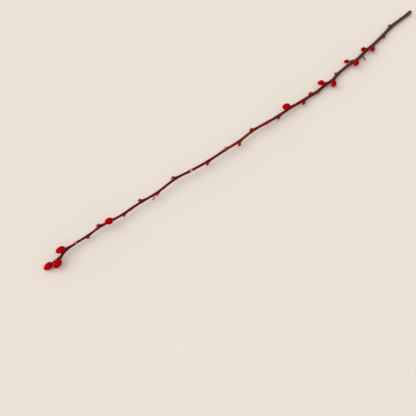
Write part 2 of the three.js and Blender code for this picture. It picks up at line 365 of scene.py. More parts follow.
def seat(node, sizes):
    """The top of a node's cushion, and the directions of growth and away from the stem."""
    point, tangent = AXIS.at([node["along"] / STEM_LENGTH])
    out = outward(tangent, np.array([node["turn"]]))[0]
    point, tangent = point[0], tangent[0]
    if node["kind"] == "bud_scar":
        height = SCAR_SEAT_HEIGHT * max(1, node["size"])
    else:
        height = node.get("spur", CUSHIONS[node["kind"]]["height"] * max(1, node["size"]))
    lean = math.radians(node["lean"])
    growth = tangent * math.cos(lean) + out * math.sin(lean)
    reach = stem_radius(node["along"], sizes) + node_swelling(node["along"]) + height
    return point + out * reach, growth, out, tangent


def stem_radius(along, sizes):
    """The stem's radius without its swellings."""
    share = np.asarray(along, float) / STEM_LENGTH
    return (sizes.cut_end_radius + (sizes.tip_radius - sizes.cut_end_radius) * share) / MM


def catkin_place(node, sizes):
    """Where a catkin stands: clear of its cushion by two gaps and the frame's scale."""
    top, growth, out, _ = seat(node, sizes)
    return Place(top + growth * (2 * FRAME_GAP + FRAME_SCALE), growth, out)


def tip_place():
    """Where the last catkin stands, straight on from the stem."""
    point, tangent = AXIS.at([1.0])
    out = outward(tangent, np.array([90.0]))[0]
    base = point[0] + tangent[0] * (3 * FRAME_GAP + FRAME_SCALE)
    return Place(base, tangent[0], out)


def egg(angle, length, width, offset=0.0):
    """Radius and height on a catkin's egg-shaped outline, at an angle from its base."""
    fullness = 0.16
    radius = (width / 2) * np.sin(angle) * (1 + fullness * np.cos(angle))
    height = (length / 2) * (1 - np.cos(angle))
    radius_slope = (width / 2) * (np.cos(angle) + fullness * np.cos(2 * angle))
    height_slope = (length / 2) * np.sin(angle)
    slope = np.hypot(radius_slope, height_slope)
    return radius + offset * height_slope / slope, height - offset * radius_slope / slope


def catkin_flatness(size):
    """How flat a catkin or an opening bud is on the side that faces the stem."""
    return CATKIN_FLATNESS if size > SHOWING_SIZE else STEM_SIDE_FLATNESS


def round_points(radius, height, angles, flatness=STEM_SIDE_FLATNESS):
    """Points round the upright axis, flatter on the side that faces the stem."""
    side = np.cos(angles)
    depth = radius * side * np.where(side < 0, flatness, 1.0)
    return np.stack(np.broadcast_arrays(radius * np.sin(angles), height, depth), axis=-1)


def around(sides):
    """Evenly spaced angles round a piece, in radians."""
    return np.arange(sides) * (2 * np.pi / sides)


def closed_skin(grid):
    """Points and faces of a skin from rings of points, whose first and last rings close to a point."""
    rows, sides = grid.shape[:2]
    inner = grid[1:-1].reshape(-1, 3)
    points = np.vstack([grid[0].mean(axis=0), inner, grid[-1].mean(axis=0)])
    ring = np.arange(sides)
    following = (ring + 1) % sides
    faces = [(0, 1 + b, 1 + a) for a, b in zip(ring, following)]
    for row in range(rows - 3):
        low = 1 + row * sides
        high = low + sides
        quads = np.stack([low + ring, low + following, high + following, high + ring], axis=1)
        faces += quads.tolist()
    top = len(points) - 1
    last = top - sides
    faces += [(last + a, last + b, top) for a, b in zip(ring, following)]
    return points, faces


def skin_marks(values):
    """Values on a grid as one for each point of its closed skin."""
    return np.concatenate([values[0, :1], values[1:-1].ravel(), values[-1, :1]])


def joined(*parts):
    """Several sets of points and faces as one."""
    points, faces, count = [], [], 0
    for part_points, part_faces in parts:
        points.append(part_points)
        faces += [[index + count for index in face] for face in part_faces]
        count += len(part_points)
    return np.vstack(points), faces


# How far the catkins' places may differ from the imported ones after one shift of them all.
MOST_SPREAD = 0.05


def frame_offset(sizes):
    """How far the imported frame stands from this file's axis, read from the catkins' boxes."""
    places = [catkin_place(node, sizes) for node in NODES if node["kind"] == "catkin"]
    scales = [node["size"] for node in NODES if node["kind"] == "catkin"]
    places.append(tip_place())
    scales.append(1.0)
    offsets = []
    for number, (place, scale) in enumerate(zip(places, scales), start=1):
        angles = np.linspace(0, np.pi, 10)[:, None]
        length = sizes.catkin_length / MM * scale
        width = sizes.catkin_width / MM * scale
        radius, height = egg(np.clip(angles, 1e-6, np.pi - 1e-6), length, width)
        skin = round_points(radius, height, around(12), CATKIN_FLATNESS)
        points = place.put(skin).reshape(-1, 3)
        low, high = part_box(f"catkin_{number:02d}")
        middle = (np.array(low) + np.array(high)) / 2 / MM
        offsets.append(middle - (points.min(axis=0) + points.max(axis=0)) / 2)
    spread = np.ptp(offsets, axis=0).max()
    if spread > MOST_SPREAD:
        raise RuntimeError(f"the axis doesn't follow the packed stem: it is {spread:.3f} mm off")
    return np.mean(offsets, axis=0)


# What rests on the surface lies flat on it, this high.
LOWEST = 0.01


def make_piece(name, points, faces, materials, marks=None, material_of_face=None):
    """A smooth piece from points in millimetres on this file's axis, with marks as attributes."""
    sizes = bpy.context.scene.twig_sizes
    mesh = bpy.data.meshes.new(name)
    placed = points + frame_offset(sizes)
    placed[:, 2] = np.maximum(placed[:, 2], LOWEST)
    mesh.from_pydata((placed * MM).tolist(), [], faces)
    for mark, values in (marks or {}).items():
        attribute = mesh.attributes.new(mark, "FLOAT", "POINT")
        attribute.data.foreach_set("value", np.asarray(values, np.float32).ravel())
    for material in materials:
        mesh.materials.append(material)
    if material_of_face is not None:
        mesh.polygons.foreach_set("material_index", material_of_face)
    mesh.shade_smooth()
    mesh.update()
    piece = bpy.data.objects.new(name, mesh)
    bpy.context.scene.collection.objects.link(piece)
    return piece


def stand_for(piece):
    """The piece is shown in place of the frame's node of its name."""
    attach(piece, "root")
    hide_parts(piece.name.lower())


# --- Materials --------------------------------------------------------------------------------

# The sockets of a Mix node that mixes colours, and its settings to blend or to multiply them.
FACTOR, COLOUR_A, COLOUR_B, COLOUR_OUT = 0, 6, 7, 2
BLENDED = {"data_type": "RGBA"}
MULTIPLIED = {"data_type": "RGBA", "blend_type": "MULTIPLY"}


def add_node(tree, kind, inputs, output=0, stops=(), **settings):
    """Adds a node with its settings, its inputs as values or sockets, and its ramp's stops, and gives
    one of its outputs."""
    node = tree.nodes.new("ShaderNode" + kind)
    for name, value in settings.items():
        setattr(node, name, value)
    for name, value in inputs.items():
        if isinstance(value, bpy.types.NodeSocket):
            tree.links.new(value, node.inputs[name])
        else:
            node.inputs[name].default_value = value
    if stops:
        elements = node.color_ramp.elements
        while len(elements) < len(stops):
            elements.new(1.0)
        for element, (position, colour) in zip(elements, stops):
            element.position = position
            element.color = (*colour, 1.0)
    return None if output is None else node.outputs[output]


def new_material(name):
    """An empty node material and its tree."""
    material = bpy.data.materials.new(name)
    material.use_nodes = True
    material.node_tree.nodes.clear()
    return material, material.node_tree


def finished(material, inputs):
    """The material, with a surface that has these inputs."""
    surface = add_node(material.node_tree, "BsdfPrincipled", inputs)
    add_node(material.node_tree, "OutputMaterial", {"Surface": surface}, None)
    return material


def grey(value):
    """A grey as a colour."""
    return (value, value, value)


def shaded(colour, share):
    """A colour with a share of its light."""
    return tuple(channel * share for channel in colour)


def pattern(tree, across, length, detail, roughness=0.5):
    """Noise whose features are this long in mm across and along the twig."""
    coordinates = add_node(tree, "TexCoord", {}, "Object")
    scale = (1 / (length * MM), 1 / (across * MM), 1 / (across * MM))
    stretched = add_node(tree, "Mapping", {"Vector": coordinates, "Scale": scale})
    inputs = {"Vector": stretched, "Scale": 1.0, "Detail": detail, "Roughness": roughness}
    return add_node(tree, "TexNoise", inputs)


def bark_material(colours):
    """Willow bark, grown smooth and then dyed: thin satin bark whose colour goes from grey-brown at the old
    end to dark red at the young tip, with a painted shadow darkening the stretch where the old bark turns
    brown, fine lengthwise streaks, wrinkles and corky specks."""
    material, tree = new_material("Dyed willow bark")
    coordinates = add_node(tree, "TexCoord", {}, "Object")
    along = add_node(tree, "SeparateXYZ", {"Vector": coordinates}, "X")
    # Patches 25 mm long shift the colour's place by up to this much, so that no band looks ruled.
    most_shift = 120 * MM
    patches = pattern(tree, 6, 25, 3.0)
    shifted = add_node(tree, "Math", {0: patches, 1: most_shift, 2: along}, operation="MULTIPLY_ADD")
    start, end = (corner[0] + most_shift / 2 for corner in CAD_BOUNDS)
    place = add_node(tree, "MapRange", {"Value": shifted, "From Min": start, "From Max": end})
    old, brown, red, young = colours.bark_old, colours.bark_brown, colours.bark_red, colours.bark_young
    # Where the old bark meets the brown, the colour is darker than the mean of the two, at 0.84 of it: a
    # painted shadow.
    middling_with_painted_shadow = tuple(0.42 * (a + b) for a, b in zip(old, brown))
    first_half = [(0.0, old), (0.28, middling_with_painted_shadow), (0.42, red), (0.5, brown)]
    second_half = [(0.56, brown), (0.63, red), (0.8, red), (0.95, young)]
    aged_and_shadowed = add_node(tree, "ValToRGB", {"Fac": place}, stops=first_half + second_half)
    # Lengthwise streaks 0.5 mm wide and 9 mm long, where dye has run along the bark.
    streaks = pattern(tree, 0.5, 9, 4.0, 0.6)
    stops = [(0.3, grey(0.55)), (0.5, grey(1.0)), (0.72, grey(1.35))]
    shade = add_node(tree, "ValToRGB", {"Fac": streaks}, stops=stops)
    inputs = {FACTOR: 1.0, COLOUR_A: aged_and_shadowed, COLOUR_B: shade}
    streaked = add_node(tree, "Mix", inputs, COLOUR_OUT, **MULTIPLIED)
    corky = add_node(tree, "Attribute", {}, "Fac", attribute_name="corky")
    inputs = {FACTOR: corky, COLOUR_A: streaked, COLOUR_B: (*colours.leaf_scar, 1.0)}
    corked = add_node(tree, "Mix", inputs, COLOUR_OUT, **BLENDED)
    # Wrinkles of dried bark, 0.3 mm wide and 3 mm long.
    wrinkles = pattern(tree, 0.3, 3, 3.0)
    relief = add_node(tree, "Bump", {"Height": wrinkles, "Strength": 0.5, "Distance": 0.08 * MM})
    roughness = add_node(tree, "MapRange", {"Value": streaks, "To Min": 0.48, "To Max": 0.68})
    inputs = {"Base Color": corked, "Roughness": roughness, "Normal": relief}
    return finished(material, {**inputs, "IOR": 1.45, "Specular IOR Level": 0.13})


def cut_wood_material(colours):
    """Willow wood, cut with shears and stained by the dye: pale wood with a ring of growth, a dark
    pith and rough ends of fibres."""
    material, tree = new_material("Cut willow wood")
    inward = add_node(tree, "Attribute", {}, "Fac", attribute_name="inward")
    wood, pith = colours.wood, colours.pith
    pith_stops = [(0.0, pith), (0.13, pith), (0.2, wood)]
    ring_stops = [(0.52, wood), (0.56, shaded(wood, 0.6)), (0.6, wood)]
    edge_stops = [(0.9, wood), (0.97, shaded(wood, 0.35))]
    rings = add_node(tree, "ValToRGB", {"Fac": inward}, stops=pith_stops + ring_stops + edge_stops)
    # Ends of fibres and vessels, 0.25 mm apart, which is coarser than real so that they show.
    fibres = pattern(tree, 0.25, 0.25, 4.0)
    shade = add_node(tree, "ValToRGB", {"Fac": fibres}, stops=[(0.35, grey(0.65)), (0.6, grey(1.0))])
    colour = add_node(tree, "Mix", {FACTOR: 0.8, COLOUR_A: rings, COLOUR_B: shade}, COLOUR_OUT, **MULTIPLIED)
    relief = add_node(tree, "Bump", {"Height": fibres, "Strength": 0.7, "Distance": 0.1 * MM})
    return finished(material, {"Base Color": colour, "Roughness": 0.8, "IOR": 1.5, "Normal": relief})


def silk_material(colours):
    """Catkin silk, grown as fine hairs and dyed in the bath: a deep red, lightest at the ends of the hairs,
    with painted shade that makes it darkest at their roots and on the core down between them, and with the
    soft glow of velvet and no shine."""
    material, tree = new_material("Dyed catkin silk")
    strand = add_node(tree, "Attribute", {}, "Fac", attribute_name="strand")
    # The root colour is painted shade down between the strands, and the core's skin takes it too.
    root, tip = colours.silk_shaded_root, colours.silk_tip
    middle = tuple(0.45 * a + 0.55 * b for a, b in zip(root, tip))
    stops = [(0.0, root), (0.5, middle), (1.0, tip)]
    along_strand = add_node(tree, "ValToRGB", {"Fac": strand}, stops=stops)
    bract = add_node(tree, "Attribute", {}, "Fac", attribute_name="bract")
    inputs = {FACTOR: bract, COLOUR_A: along_strand, COLOUR_B: (*colours.bract, 1.0)}
    with_bracts = add_node(tree, "Mix", inputs, COLOUR_OUT, **BLENDED)
    # Uneven dye: clouds about 2.5 mm wide, the size of a tuft.
    clouds = pattern(tree, 2.5, 2.5, 2.0)
    shade = add_node(tree, "ValToRGB", {"Fac": clouds}, stops=[(0.35, grey(0.76)), (0.6, grey(1.2))])
    inputs = {FACTOR: 1.0, COLOUR_A: with_bracts, COLOUR_B: shade}
    colour = add_node(tree, "Mix", inputs, COLOUR_OUT, **MULTIPLIED)
    matt = {"Roughness": 0.85, "IOR": 1.5, "Specular IOR Level": 0.05}
    velvet = {"Sheen Weight": 0.5, "Sheen Roughness": 0.45, "Sheen Tint": (1.0, 0.02, 0.035, 1.0)}
    return finished(material, {"Base Color": colour, **matt, **velvet})


def scale_material(colours):
    """Willow bud scale, grown as one leathery cap and dyed: dark maroon that turns red towards some
    tips, with fine ribs and a satin gloss."""
    material, tree = new_material("Dyed leathery bud scale")
    blush = add_node(tree, "Attribute", {}, "Fac", attribute_name="blush")
    # Fine ribs 0.35 mm wide, coarser than real so that they show; the mesh carries the large ones.
    grain = pattern(tree, 0.35, 1.5, 4.0)
    uneven = add_node(tree, "Math", {0: grain, 1: 0.5, 2: blush}, operation="MULTIPLY_ADD")
    dark, red = colours.scale_dark, colours.scale_red
    stops = [(0.1, shaded(dark, 0.45)), (0.35, dark), (1.0, red)]
    colour = add_node(tree, "ValToRGB", {"Fac": uneven}, stops=stops)
    relief = add_node(tree, "Bump", {"Height": grain, "Strength": 0.4, "Distance": 0.1 * MM})
    roughness = add_node(tree, "MapRange", {"Value": grain, "To Min": 0.42, "To Max": 0.65})
    inputs = {"Base Color": colour, "Roughness": roughness, "Normal": relief}
    return finished(material, {**inputs, "IOR": 1.48, "Specular IOR Level": 0.3})


def scar_material(colours):
    """Young willow wood, torn open where a bud broke off and then dyed: matt, grainy and coral, since
    bare wood takes the dye much brighter than bark does."""
    material, tree = new_material("Torn dyed wood")
    fade = add_node(tree, "Attribute", {}, "Fac", attribute_name="fade")
    # Torn grain 0.35 mm across, coarser than real fibres so that it shows.
    grain = pattern(tree, 0.35, 0.35, 5.0)
    ends = {COLOUR_A: (*colours.scar_bright, 1.0), COLOUR_B: (*colours.scar_pale, 1.0)}
    colour = add_node(tree, "Mix", {FACTOR: fade, **ends}, COLOUR_OUT, **BLENDED)
    stops = [(0.3, (0.5, 0.35, 0.32)), (0.55, grey(1.0))]
    shade = add_node(tree, "ValToRGB", {"Fac": grain}, stops=stops)
    inputs = {FACTOR: 0.8, COLOUR_A: colour, COLOUR_B: shade}
    grained = add_node(tree, "Mix", inputs, COLOUR_OUT, **MULTIPLIED)
    relief = add_node(tree, "Bump", {"Height": grain, "Strength": 0.8, "Distance": 0.15 * MM})
    return finished(material, {"Base Color": grained, "Roughness": 0.8, "IOR": 1.5, "Normal": relief})


def inner_bark_material(colours):
    """Inner bark, peeled off as a strip: matt brown-pink fibres that run its length."""
    material, tree = new_material("Peeled inner bark")
    # Fibres 0.2 mm apart and 3 mm long.
    fibres = pattern(tree, 0.2, 3, 3.0)
    inside = colours.flake_inside
    stops = [(0.3, shaded(inside, 0.5)), (0.65, inside)]
    colour = add_node(tree, "ValToRGB", {"Fac": fibres}, stops=stops)
    return finished(material, {"Base Color": colour, "Roughness": 0.8, "IOR": 1.5})


def floor_material(colours):
    """Board painted with matt emulsion: an even cream with the faintest clouding of the roller."""
    material, tree = new_material("Matt painted board")
    # Clouds 120 mm wide.
    clouds = pattern(tree, 120, 120, 2.0)
    stops = [(0.3, shaded(colours.floor, 0.985)), (0.7, colours.floor)]
    colour = add_node(tree, "ValToRGB", {"Fac": clouds}, stops=stops)
    return finished(material, {"Base Color": colour, "Roughness": 0.9, "IOR": 1.45})


MATERIALS = {
    "bark": bark_material,
    "cut_wood": cut_wood_material,
    "silk": silk_material,
    "scale": scale_material,
    "scar": scar_material,
    "inner_bark": inner_bark_material,
    "floor": floor_material,
}
made_materials = {}


def material_for(name):
    """The material of that name, made the first time that a piece asks for it."""
    if name not in made_materials:
        made_materials[name] = MATERIALS[name](bpy.context.scene.twig_colours)
    return made_materials[name]


# --- Stem -------------------------------------------------------------------------------------

STEM_SIDES = 40
FINE_STEP = 0.38
COARSE_STEP = 1.1
# The stretch round each node where the rings are close together.
FINE_BEHIND, FINE_AHEAD = 7.0, 3.5
# The slant of the cut end fades out over this length.
CUT_LENGTH = 4
# How many lenticels the bark has, how high they stand and how corky they are on the old bark.
LENTICELS = 170
LENTICEL_HEIGHT = 0.07
LENTICEL_CORK = 0.6
# How high the folds of the dried bark are, and the slow waviness of the stem.
FOLD_HEIGHT = 0.07
WAVE_HEIGHT = 0.05
# The noise for them is read on a cylinder of this radius, along which this length counts as 1.
FOLD_RADIUS, FOLD_STRETCH = 1.6, 7
# The share of a cushion's reach over which it slopes. None reaches further along the stem than this.
CUSHION_SLOPE = 0.68
CUSHION_REACH = 9
# The leaf scar: how far behind its node it lies, how far it runs to each side, and half its thickness.
LEAF_SCAR_BACK = 1.35
LEAF_SCAR_SIDE = 1.35
LEAF_SCAR_HALF_THICKNESS = 0.3
# How deep it is, and how corky.
LEAF_SCAR_DEPTH = 0.12
LEAF_SCAR_CORK = 0.75
# The side spur starts this far inside the stem, and tapers by this from its radius at the root.
SPUR_ROOT = 1.0
SPUR_RADIUS, SPUR_TAPER = 0.98, 0.3


def ring_places():
    """Distances along the stem of its rings of points, close together at the nodes."""
    places = [0.0]
    nodes = np.array([node["along"] for node in NODES])
    while places[-1] < STEM_LENGTH:
        ahead = places[-1] - nodes
        near = np.any((ahead > -FINE_BEHIND) & (ahead < FINE_AHEAD)) or places[-1] < CUT_LENGTH
        places.append(places[-1] + (FINE_STEP if near else COARSE_STEP))
    places[-1] = STEM_LENGTH
    return np.array(places)


def cushion(node, along, turns, radius):
    """How much of a node's cushion is under each point, how far it leans on, and its leaf scar."""
    shape = CUSHIONS[node["kind"]]
    height = shape["height"] * max(1, node["size"])
    lean = math.radians(min(90, node["lean"] + shape["more_lean"]))
    run = height / math.tan(lean)
    ahead = along[:, None] - node["along"] + run
    sideways = radius * np.radians((turns[None, :] - node["turn"] + 180) % 360 - 180)
    reach = np.where(ahead < 0, shape["back"], shape["front"])
    distance = np.hypot(ahead / reach, sideways / shape["side"])
    rise = step_up((1 - distance) / CUSHION_SLOPE)
    crescent = bump((ahead + LEAF_SCAR_BACK - 0.22 * sideways**2) / LEAF_SCAR_HALF_THICKNESS)
    crescent = crescent * step_up((LEAF_SCAR_SIDE - abs(sideways)) / 0.4)
    return height * rise, run * rise, crescent


def stem_surface(sizes, random):
    """The stem's rings of points, with how corky each point is."""
    along = ring_places()
    turns = np.degrees(around(STEM_SIDES))
    base = (stem_radius(along, sizes) + node_swelling(along))[:, None]
    points, tangents = AXIS.at(along / STEM_LENGTH)
    relief = np.zeros((len(along), STEM_SIDES))
    shift = np.zeros_like(relief)
    corky = np.zeros_like(relief)
    for node in NODES:
        near = np.abs(along - node["along"]) < CUSHION_REACH
        height, run, crescent = cushion(node, along[near], turns, base[near])
        relief[near] = np.maximum(relief[near], height)
        shift[near] = np.where(height > 0.02, np.maximum(shift[near], run), shift[near])
        relief[near] -= LEAF_SCAR_DEPTH * crescent
        corky[near] = np.maximum(corky[near], LEAF_SCAR_CORK * crescent)
    for _ in range(LENTICELS):
        place, turn = random.uniform(2, STEM_LENGTH - 2), random.uniform(0, 360)
        half_length, half_width = random.uniform(0.3, 0.6), random.uniform(0.2, 0.32)
        near = np.abs(along - place) < 3
        sideways = base[near] * np.radians((turns[None, :] - turn + 180) % 360 - 180)
        spot = bump((along[near][:, None] - place) / half_length) * bump(sideways / half_width)
        relief[near] += LENTICEL_HEIGHT * spot
        cork = LENTICEL_CORK * spot * (1 - 0.5 * place / STEM_LENGTH)
        corky[near] = np.maximum(corky[near], cork)
    angles = np.radians(turns)[None, :]
    round_it = (FOLD_RADIUS * np.cos(angles), FOLD_RADIUS * np.sin(angles))
    rounded = np.stack(np.broadcast_arrays(*round_it, along[:, None] / FOLD_STRETCH), axis=-1)
    # Without these the stem would look turned on a lathe.
    relief += FOLD_HEIGHT * lumps(rounded, 0.45, 1) + WAVE_HEIGHT * lumps(rounded, 1.3, 2)
    reach = base + relief
    out = outward(tangents[:, None, :], np.broadcast_to(turns, relief.shape))
    slant = CUT_SLOPE * reach * np.sin(angles) * np.clip(1 - along / CUT_LENGTH, 0, 1)[:, None]
    rings = points[:, None, :] + out * reach[..., None] + tangents[:, None, :] * (shift + slant)[..., None]
    return rings, corky, points, tangents


def spur_skin(node, sizes):
    """The side spur under one of the buds, as a closed skin that starts inside the stem."""
    top, _, out, tangent = seat(node, sizes)
    lean = math.radians(node["lean"] + CUSHIONS[node["kind"]]["more_lean"])
    direction = tangent * math.cos(lean) + out * math.sin(lean)
    length = node["spur"] / math.sin(lean) + SPUR_ROOT
    place = Place(top - direction * length, direction, out)
    share = np.linspace(0, 1, 26)[:, None]
    angles = around(22)
    knuckles = 0.1 * bump((share - 0.55) / 0.05) + 0.16 * bump((share - 0.9) / 0.06)
    radius = SPUR_RADIUS - SPUR_TAPER * share + knuckles
    radius = radius * np.sqrt(np.clip(1 - share**24, 0, 1)) * (share > 0)
    grid = round_points(radius, share * (length + 0.25), angles)
    grid[..., 2] = radius * np.cos(angles)
    wrinkle = 0.04 * lumps(grid * [1, 0.3, 1], 0.5, 3)
    grid[1:-1] *= 1 + wrinkle[1:-1, :, None] * [1, 0, 1]
    points, faces = closed_skin(grid)
    return place.put(points), faces


def united(piece, other):
    """Makes the other piece part of the first, as one closed skin."""
    union = piece.modifiers.new("Union", "BOOLEAN")
    union.operation = "UNION"
    union.solver = "EXACT"
    union.object = other
    bpy.context.view_layer.update()
    evaluated = piece.evaluated_get(bpy.context.evaluated_depsgraph_get())
    whole = bpy.data.meshes.new_from_object(evaluated)
    piece.modifiers.remove(union)
    piece.data = whole
    bpy.data.objects.remove(other)


class TWIG_OT_stem(bpy.types.Operator):
    """Makes the stem with its cushions, leaf scars, bark and cut end"""

    bl_idname = "twig.stem"
    bl_label = "Stem"

    def execute(self, context):
        sizes = context.scene.twig_sizes
        random = np.random.default_rng(STEM_SEED)
        rings, corky, centres, tangents = stem_surface(sizes, random)
        # The cut face: rings that step inwards, a little rough where the shears crushed the fibres.
        inner = [0.0, 0.06, 0.14, 0.2, 0.35, 0.52, 0.56, 0.6, 0.75, 0.88, 0.95]
        face = []
        for share in inner:
            ring = centres[0] + (rings[0] - centres[0]) * share
            face.append(ring + tangents[0] * 0.09 * lumps(ring, 0.5, 4)[:, None])
        # Past its last ring the stem rounds over under the last catkin.
        end = []
        for share, ahead in ((0.93, 0.25), (0.7, 0.5), (0.35, 0.62), (0.0, 0.66)):
            end.append(centres[-1] + (rings[-1] - centres[-1]) * share + tangents[-1] * ahead)
        grid = np.concatenate([face, rings, end])
        points, faces = closed_skin(grid)
        inward = np.ones(grid.shape[:2])
        inward[: len(inner)] = np.array(inner)[:, None]
        cork = np.zeros(grid.shape[:2])
        cork[len(inner) : -len(end)] = corky
        marks = {"inward": skin_marks(inward), "corky": skin_marks(cork)}
        of_face = np.zeros(len(faces), int)
        of_face[: STEM_SIDES * len(inner)] = 1
        materials = [material_for("bark"), material_for("cut_wood")]
        stem = make_piece("Stem", points, faces, materials, marks, of_face)
        for node in NODES:
            if "spur" in node:
                united(stem, make_piece("Spur", *spur_skin(node, sizes), materials))
        stand_for(stem)
        return {"FINISHED"}


# --- Catkins ----------------------------------------------------------------------------------

GOLDEN_ANGLE = math.pi * (3 - math.sqrt(5))
# The fleshy core of a catkin under its fur: how far inside the fur's outline it is at the sides,
# and how far short of its end it stops.
FUR_DEPTH = 0.82
FUR_AHEAD = 2.3
# On a catkin of size 1 it stands up from the frame's base by this, clear of the scale's floor.
CORE_LIFT = 0.25
FEWEST_FLORETS = 26
# How far a strand strays from its tuft's direction, and how far its tip is drawn to the tuft's own.
STRAND_LOOSENESS = 0.13
STRAND_GATHERING = 0.28
# A strand is this thick half-way, as a share of its root.
STRAND_MIDDLE = 0.72
# Strands that start this far under a bud's scale, in radians, never show and are left out.
HIDDEN_UNDER = 0.25


class Core:
    """A catkin's core: an egg that can be read at angles from its base and round it."""

    def __init__(self, size, sizes):
        self.length = sizes.catkin_length / MM * size - FUR_AHEAD * min(1, size * 1.2)
        self.width = sizes.catkin_width / MM * size - 2 * FUR_DEPTH * min(1, size * 1.4)
        self.flatness = catkin_flatness(size)
        self.florets = max(FEWEST_FLORETS, round(sizes.florets * size**1.6))

    def points(self, angle, turn):
        """Points on the core."""
        radius, height = egg(angle, self.length, self.width)
        return round_points(radius, height, turn, self.flatness)

    def directions(self, angle, turn):
        """Away from the core, and on towards its tip along its skin."""
        step = 0.001
        on = unit(self.points(angle + step, turn) - self.points(angle - step, turn))
        round_it = unit(self.points(angle, turn + step) - self.points(angle, turn - step))
        return np.cross(round_it, on), on

    def spread(self, count):
        """Angles and turns of evenly spread places, in a spiral as florets grow."""
        angle = np.linspace(0.02, np.pi - 0.02, 400)
        radius, height = egg(angle, self.length, self.width)
        steps = np.hypot(np.diff(radius), np.diff(height)) * (radius[1:] + radius[:-1])
        covered = np.concatenate([[0], np.cumsum(steps)])
        number = np.arange(count)
        return np.interp((number + 0.5) / count * covered[-1], covered, angle), number * GOLDEN_ANGLE


def strands(roots, middles, tips, width, random):
    """Three-sided tapering strands, as points, faces and how far along its strand each point is."""
    count = len(roots)
    lean = unit(tips - roots)
    aside = unit(np.cross(lean, random.normal(size=lean.shape)))
    other = np.cross(lean, aside)
    points = np.empty((count, 7, 3))
    thickness = width * random.uniform(0.75, 1.2, count)[:, None]
    for corner in range(3):
        angle = corner * 2 * math.pi / 3
        spoke = aside * math.cos(angle) + other * math.sin(angle)
        points[:, corner] = roots + spoke * thickness / 2
        points[:, 3 + corner] = middles + spoke * thickness * STRAND_MIDDLE / 2
    points[:, 6] = tips
    start = (np.arange(count) * 7)[:, None]
    quads, triangles = [], [start + [2, 1, 0]]
    for corner in range(3):
        following = (corner + 1) % 3
        quads.append(start + [corner, following, 3 + following, 3 + corner])
        triangles.append(start + [3 + corner, 3 + following, 6])
    faces = np.vstack(quads).tolist() + np.vstack(triangles).tolist()
    marks = np.tile([0, 0, 0, 0.55, 0.55, 0.55, 1.0], count)
    return points.reshape(-1, 3), faces, marks


def scale_rim(reach, turn):
    """How far from its base a catkin is covered by its scale, in radians, at turns round it."""
    low, high = reach
    return low + (high - low) * ((1 + np.cos(turn)) / 2) ** 1.5


def fur(core, size, sizes, random, covered):
    """A catkin's fur: tufts of silky strands that lie towards its tip, one tuft to each floret."""
    per_floret = sizes.hairs
    angle, turn = core.spread(core.florets)
    length = sizes.hair_length / MM * (0.55 + 0.45 * size)
    spacing = 0.5 * (0.6 + 0.4 * size)
    centre_angle = np.repeat(angle, per_floret)
    centre_turn = np.repeat(turn, per_floret)
    count = len(centre_angle)
    radius, _ = egg(centre_angle, core.length, core.width)
    step = random.normal(scale=spacing, size=(2, count))
    root_angle = np.clip(centre_angle + step[0] * 2 / core.length, 0.04, np.pi - 0.04)
    root_turn = centre_turn + step[1] / np.maximum(radius, 0.5)
    up, on = core.directions(root_angle, root_turn)
    roots = core.points(root_angle, root_turn)
    ahead = np.array([0.0, 1.0, 0.0])
    loose = random.normal(scale=STRAND_LOOSENESS, size=(count, 3))
    heading = unit(0.75 * on + 0.42 * up + 0.35 * ahead + loose)
    reach = length * random.uniform(0.72, 1.1, count)[:, None]
    tips = roots + heading * reach
    centre_up, centre_on = core.directions(centre_angle, centre_turn)
    tuft = unit(0.8 * centre_on + 0.4 * centre_up + 0.45 * ahead)
    gathered = core.points(centre_angle, centre_turn) + tuft * length
    tips = tips + (gathered - tips) * STRAND_GATHERING
    middles = (roots + tips) / 2 + up * reach * 0.1
    shown = root_angle > scale_rim(covered, root_turn) - HIDDEN_UNDER
    roots = roots - up * 0.12
    return strands(roots[shown], middles[shown], tips[shown], sizes.hair_width / MM, random)


def core_skin(core):
    """The core's skin, with a small bract under each tuft, and how much bract each point shows."""
    sides, steps = 48, 40
    angle = np.linspace(0.001, np.pi - 0.001, steps + 1)[:, None]
    turn = around(sides)[None, :]
    points = core.points(angle, turn)
    up, _ = core.directions(angle, turn)
    centre_angle, centre_turn = core.spread(core.florets)
    centres = core.points(centre_angle, centre_turn)
    nearest = np.min(np.linalg.norm(points[:, :, None, :] - centres, axis=-1), axis=-1)
    bract = bump(nearest / 0.42)
    points = points + up * (0.16 * bract)[..., None]
    skin, faces = closed_skin(points)
    return skin, faces, skin_marks(bract)


def make_catkin(name, place, size, seed, covered=(0, 0)):
    """One catkin with its core and its fur, which is left out where it is covered."""
    sizes = bpy.context.scene.twig_sizes
    random = np.random.default_rng(seed)
    core = Core(size, sizes)
    skin, skin_faces, bracts = core_skin(core)
    hair, hair_faces, strand = fur(core, size, sizes, random, covered)
    points, faces = joined((skin, skin_faces), (hair, hair_faces))
    placed = place.put(points + [0, CORE_LIFT * size, 0])
    marks = {
        "strand": np.concatenate([np.zeros(len(skin)), strand]),
        "bract": np.concatenate([bracts, np.zeros(len(hair))]),
    }
    catkin = make_piece(name, placed, faces, [material_for("silk")], marks)
    stand_for(catkin)


# An opening bud is this much nearer to the stem than the frame's, which keeps its gap from it.
TUCK = 0.4


def furry_nodes(kind, sizes):
    """Each catkin or opening bud with its number, its place, its size and how far its scale reaches."""
    found = []
    for node in NODES:
        if node["kind"] == kind:
            place = catkin_place(node, sizes)
            if kind == "opening_bud":
                place.origin = place.origin - place.outer * TUCK
            reach = node.get("reach", SCALE_REACH[kind])
            found.append((len(found) + 1, place, node["size"], reach))
    if kind == "catkin":
        found.append((len(found) + 1, tip_place(), 1.0, SCALE_REACH[kind]))
    return found


def seated_nodes(kind, sizes):
    """Each closed bud or scar with its number, its node and its place, a gap away from its seat."""
    nodes = [node for node in NODES if node["kind"] == kind]
    for number, node in enumerate(nodes, start=1):
        top, growth, out, _ = seat(node, sizes)
        yield number, node, Place(top + growth * FRAME_GAP, growth, out)


